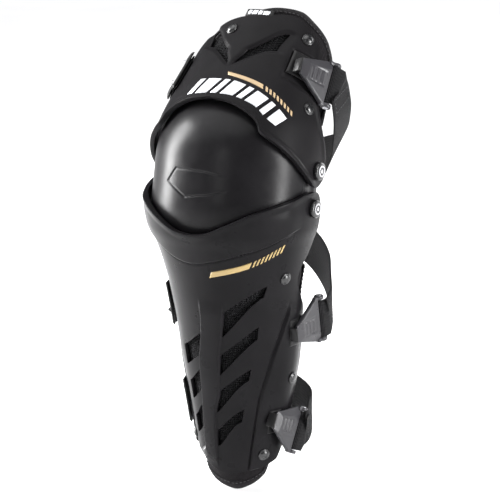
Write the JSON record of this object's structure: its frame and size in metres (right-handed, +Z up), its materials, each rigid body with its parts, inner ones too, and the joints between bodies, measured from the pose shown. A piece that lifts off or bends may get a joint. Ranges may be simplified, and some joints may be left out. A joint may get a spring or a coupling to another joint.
{
  "type": "knee guard",
  "caption": "Hinged knee and shin guard: foam-lined shin plate, pivoting knee cup and thigh plate, held on by three elastic straps with swing hooks",
  "frame": {"origin": "The knee centre, midway between the two pivot axes", "axes": "+Z up the shin, -Y forward, +X towards the side that carries the strap hooks"},
  "size_m": [0.1821, 0.1944, 0.4633],
  "materials": {
    "shell_plastic": "satin near-black",
    "grained_plastic": "fine matte grain",
    "gloss_black": "polished black",
    "hook_plastic": "mid grey satin",
    "white_mark": "white print",
    "washer": "plain",
    "steel": "satin",
    "webbing": "ribbed elastic webbing",
    "mesh": "knitted mesh",
    "liner_foam": "fabric-faced foam"
  },
  "bodies": {
    "shin_guard": {"shin_shell": "shell_plastic", "shin_mesh_near": "mesh", "shin_mesh_far": "mesh", "shin_liner": "liner_foam", "shin_binding": "webbing", "shin_snaps": "gloss_black", "lower_pivot_rivets": "steel", "lower_pivot_washers": "washer", "lower_pivot_caps": "gloss_black", "lower_cap_inlays": "white_mark", "calf_catch": "shell_plastic", "ankle_catch": "shell_plastic", "calf_anchor": "shell_plastic", "ankle_anchor": "shell_plastic", "shin_anchor_rivets": "steel", "calf_strap": "webbing", "ankle_strap": "webbing", "calf_hook_bar": "steel", "ankle_hook_bar": "steel"},
    "knee_unit": {"knee_cup": "shell_plastic", "knee_liner": "liner_foam"},
    "thigh_guard": {"thigh_shell": "grained_plastic", "thigh_mesh": "mesh", "thigh_liner": "liner_foam", "thigh_binding": "webbing", "thigh_label": "white_mark", "thigh_snaps": "gloss_black", "upper_pivot_rivets": "steel", "upper_pivot_washers": "washer", "upper_pivot_caps": "gloss_black", "upper_cap_inlays": "white_mark", "thigh_catch": "shell_plastic", "thigh_anchor": "shell_plastic", "thigh_anchor_rivets": "steel", "thigh_strap": "webbing", "thigh_hook_bar": "steel"},
    "thigh_clip": {"thigh_hook": "hook_plastic"},
    "calf_clip": {"calf_hook": "hook_plastic"},
    "ankle_clip": {"ankle_hook": "hook_plastic"}
  },
  "joints": [
    {"name": "knee_lower", "type": "hinge", "parent": "shin_guard", "child": "knee_unit", "pos_m": [0, -0.00379, -0.01708], "axis": [-1, 0, 0], "range_deg": [-12.5, 30], "deforming": ["calf_strap"]},
    {"name": "knee_upper", "type": "hinge", "parent": "knee_unit", "child": "thigh_guard", "pos_m": [0, 0.00379, 0.01708], "axis": [-1, 0, 0], "range_deg": [-32, 35], "deforming": ["thigh_strap"]},
    {"name": "thigh_hook_swing", "type": "hinge", "parent": "thigh_guard", "child": "thigh_clip", "pos_m": [0.0823, 0.03496, 0.09161], "axis": [-0.0696, 0.6081, 0.7908], "range_deg": [0, 70]},
    {"name": "calf_hook_swing", "type": "hinge", "parent": "shin_guard", "child": "calf_clip", "pos_m": [0.076, 0.026, -0.131], "axis": [-0.0242, -0.1371, 0.9903], "range_deg": [0, 70]},
    {"name": "ankle_hook_swing", "type": "hinge", "parent": "shin_guard", "child": "ankle_clip", "pos_m": [0.0592, 0.0092, -0.243], "axis": [0.0846, 0.3978, 0.9135], "range_deg": [0, 50]}
  ]
}
